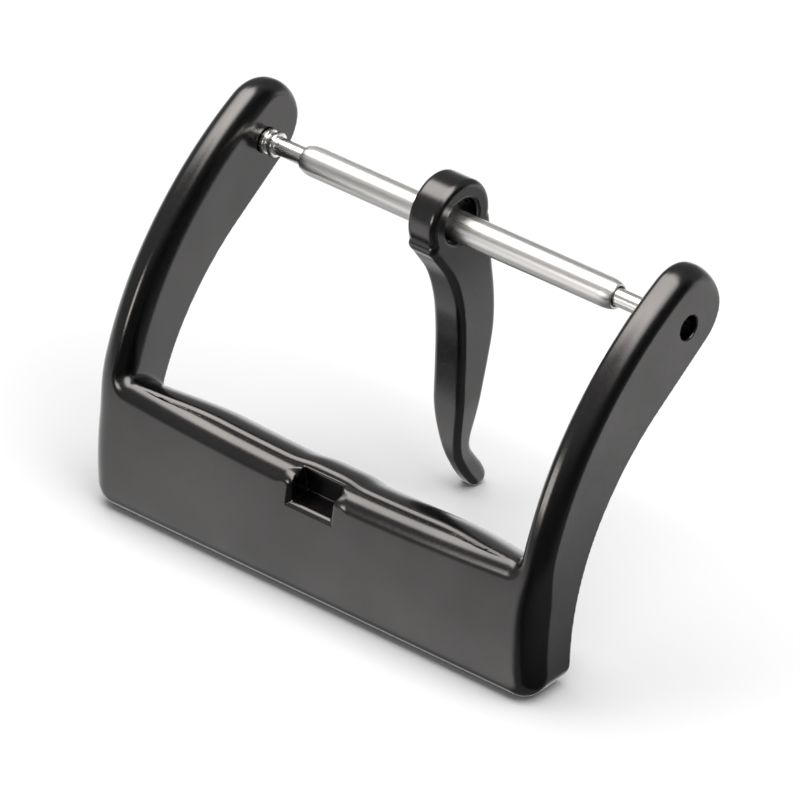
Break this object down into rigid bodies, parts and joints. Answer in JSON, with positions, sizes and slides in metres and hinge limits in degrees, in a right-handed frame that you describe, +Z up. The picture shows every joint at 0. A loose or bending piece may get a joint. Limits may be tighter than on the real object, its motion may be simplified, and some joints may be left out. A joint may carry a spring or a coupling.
{
  "type": "watch tang buckle",
  "caption": "Curved black tang buckle for a watch strap: frame with notched front bar, swinging tongue and a sprung double-flange bar between the arms.",
  "frame": {"origin": "middle of the buckle's footprint, on the table that it stands on", "axes": "+X along the spring bar, +Y from the front bar back to the arms' ends, +Z up, as it stands in the picture"},
  "size_m": [0.0228, 0.0116, 0.0153],
  "materials": {
    "frame_black": "satin black plating on cast steel",
    "tongue_black": "gloss black plating on cast steel",
    "barrel_steel": "polished stainless steel tube",
    "tip_steel": "turned stainless steel",
    "spring_steel": "plain steel wire"
  },
  "bodies": {
    "barrel": {"spring_bar_barrel": "barrel_steel", "spring_bar_spring": "spring_steel"},
    "frame": {"buckle_frame": "frame_black"},
    "tongue": {"tongue": "tongue_black"},
    "left_tip": {"spring_bar_left_tip": "tip_steel"},
    "right_tip": {"spring_bar_right_tip": "tip_steel"}
  },
  "joints": [
    {"name": "frame_turn", "type": "hinge", "parent": "barrel", "child": "frame", "pos_m": [0, 0.00355, 0.01295], "axis": [1, 0, 0], "continuous": true},
    {"name": "tongue_swing", "type": "hinge", "parent": "frame", "child": "tongue", "pos_m": [0, 0.00355, 0.01295], "axis": [1, 0, 0], "range_deg": [-36, 304.5]},
    {"name": "left_tip_press", "type": "slide", "parent": "barrel", "child": "left_tip", "axis": [1, 0, 0], "range_m": [0, 0.0011], "stiffness_N_per_m": 300, "springref_m": -0.001, "deforming": ["spring_bar_spring"]},
    {"name": "right_tip_press", "type": "slide", "parent": "barrel", "child": "right_tip", "axis": [-1, 0, 0], "range_m": [0, 0.0011], "stiffness_N_per_m": 300, "springref_m": -0.001, "deforming": ["spring_bar_spring"]}
  ]
}
